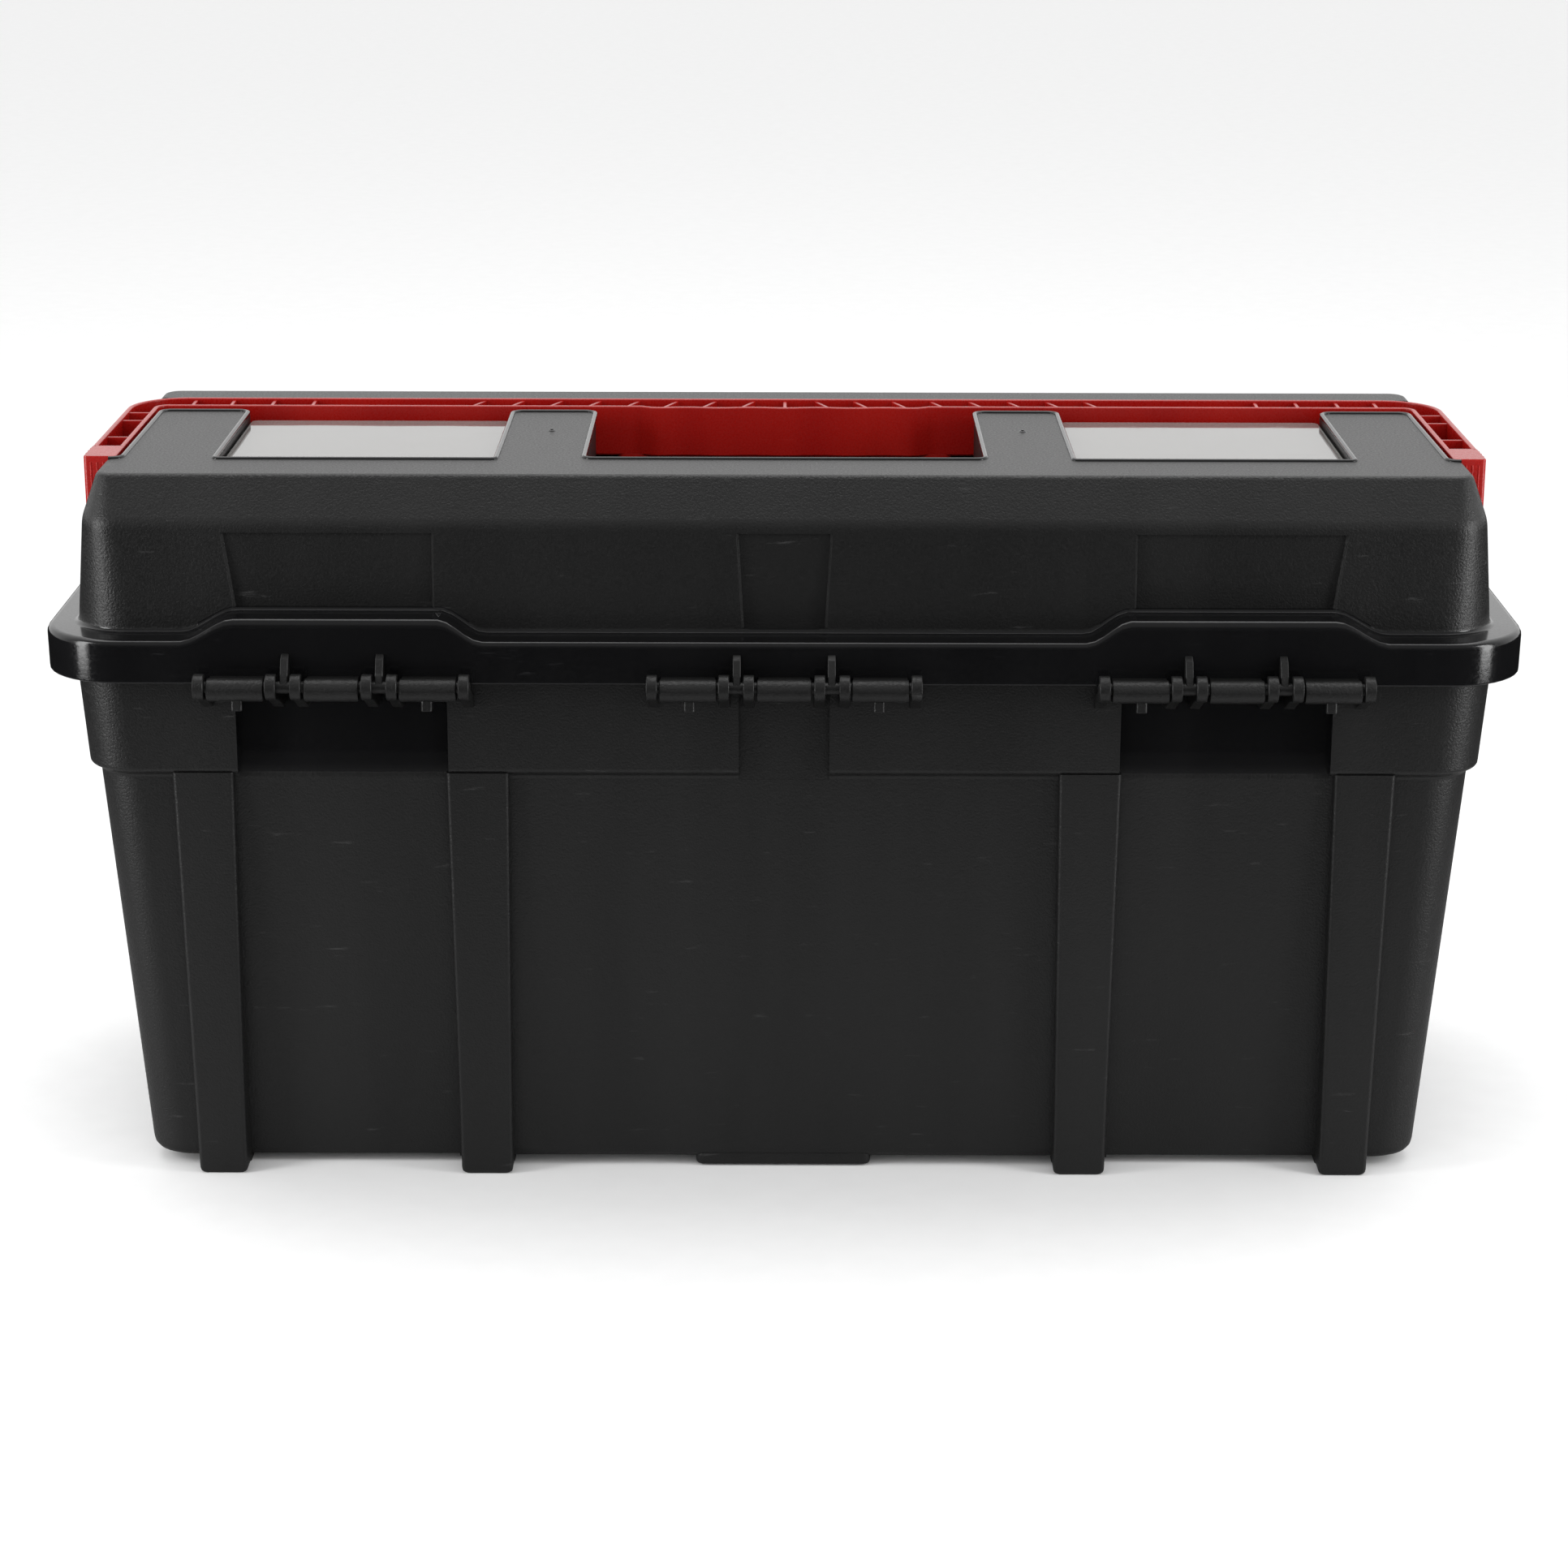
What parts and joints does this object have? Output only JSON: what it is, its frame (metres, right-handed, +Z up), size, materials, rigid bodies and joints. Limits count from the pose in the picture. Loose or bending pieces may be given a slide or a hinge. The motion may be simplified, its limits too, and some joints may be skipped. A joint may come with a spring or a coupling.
{
  "type": "toolbox with tray",
  "caption": "Moulded plastic toolbox with a hinged lid, folding carry handle, lidded organizer bins, front latches and a lift-out tray.",
  "frame": {"origin": "centre of the outside box, on the floor under the feet", "axes": "+Z up, +X to the right of someone who faces the latches, +Y towards the hinges; the latches are on -Y"},
  "size_m": [0.602, 0.2666, 0.298],
  "materials": {
    "black_plastic": "moulded polypropylene, fine grain with polished edges",
    "red_plastic": "moulded polypropylene, semi-gloss",
    "clear_cover": "clear moulded plastic, gloss",
    "grey_plastic": "moulded polypropylene, fine grain",
    "steel": "zinc plated"
  },
  "bodies": {
    "base": {"base_tub": "black_plastic"},
    "lid": {"lid_shell": "black_plastic", "latch_pin_left": "steel", "latch_pin_right": "steel", "bin_divider_1": "grey_plastic", "bin_divider_2": "grey_plastic", "bin_divider_3": "grey_plastic", "bin_divider_4": "grey_plastic"},
    "handle": {"carry_handle": "red_plastic"},
    "left_latch": {"latch_left": "red_plastic"},
    "right_latch": {"latch_right": "red_plastic"},
    "left_cover": {"organizer_cover_left": "clear_cover"},
    "right_cover": {"organizer_cover_right": "clear_cover"},
    "tray": {"lift_out_tray": "grey_plastic", "tray_handle": "red_plastic", "tray_divider_1": "grey_plastic", "tray_divider_2": "grey_plastic", "tray_divider_3": "grey_plastic"}
  },
  "joints": [
    {"name": "lid_hinge", "type": "hinge", "parent": "base", "child": "lid", "pos_m": [0, 0.128, 0.218], "axis": [-1, 0, 0], "range_deg": [0, 100]},
    {"name": "handle_fold", "type": "hinge", "parent": "lid", "child": "handle", "pos_m": [0, 0.042, 0.2865], "axis": [-1, 0, 0], "range_deg": [0, 90]},
    {"name": "left_latch_hinge", "type": "hinge", "parent": "lid", "child": "left_latch", "pos_m": [-0.15, -0.128, 0.232], "axis": [-1, 0, 0], "range_deg": [0, 150]},
    {"name": "right_latch_hinge", "type": "hinge", "parent": "lid", "child": "right_latch", "pos_m": [0.15, -0.128, 0.232], "axis": [-1, 0, 0], "range_deg": [0, 150]},
    {"name": "left_cover_hinge", "type": "hinge", "parent": "lid", "child": "left_cover", "pos_m": [-0.177, 0.057, 0.2921], "axis": [-1, 0, 0], "range_deg": [0, 100]},
    {"name": "right_cover_hinge", "type": "hinge", "parent": "lid", "child": "right_cover", "pos_m": [0.177, 0.057, 0.2921], "axis": [-1, 0, 0], "range_deg": [0, 100]},
    {"name": "tray_lift", "type": "slide", "parent": "base", "child": "tray", "axis": [0, 0, 1], "range_m": [0, 0.04]}
  ]
}
